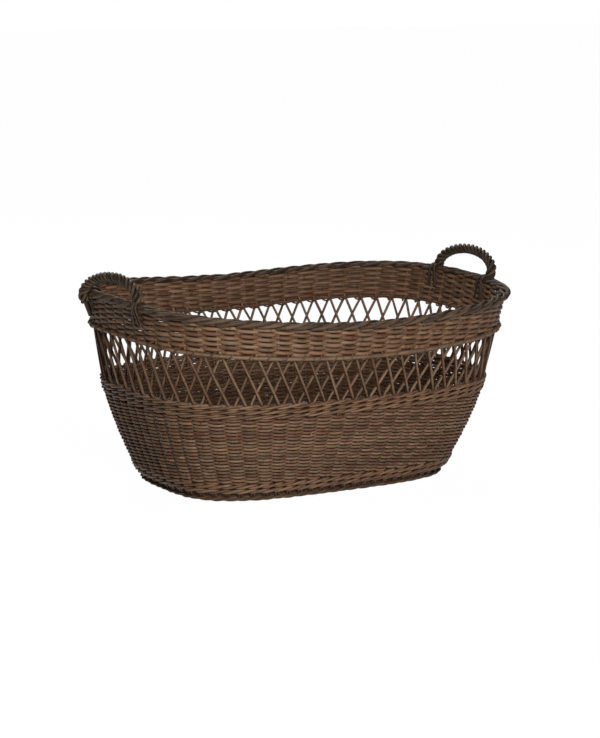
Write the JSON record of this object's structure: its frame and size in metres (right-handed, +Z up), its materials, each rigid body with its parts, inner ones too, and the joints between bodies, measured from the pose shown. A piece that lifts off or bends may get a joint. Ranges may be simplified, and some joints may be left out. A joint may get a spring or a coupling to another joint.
{
  "type": "oval wicker laundry basket",
  "caption": "Oval brown willow laundry basket with a woven lower wall, an openwork band of crossed stakes, a rolled rim and two roped end handles.",
  "frame": {"origin": "middle of the foot, on the surface the basket stands on", "axes": "+X along the basket to its right handle, +Y across it, +Z up"},
  "size_m": [0.8142, 0.599, 0.4221],
  "materials": {
    "woven_willow": "satin",
    "stake_willow": "satin",
    "handle_willow": "satin"
  },
  "bodies": {
    "root": {"base_cross_sticks": "stake_willow", "base_long_sticks": "stake_willow", "base_weave": "woven_willow", "foot_border": "woven_willow", "upsett_wale_round_1": "woven_willow", "upsett_wale_round_2": "woven_willow", "lower_siding": "woven_willow", "belt_wale_round_1": "woven_willow", "belt_wale_round_2": "woven_willow", "stakes_leaning_right": "stake_willow", "stakes_leaning_left": "stake_willow", "hoop_rod": "stake_willow", "fitching_weaver": "woven_willow", "upper_siding": "woven_willow", "rim_border": "woven_willow", "left_handle_bow": "handle_willow", "left_handle_wrap": "handle_willow", "left_handle_lashings": "handle_willow", "right_handle_bow": "handle_willow", "right_handle_wrap": "handle_willow", "right_handle_lashings": "handle_willow"}
  },
  "joints": []
}
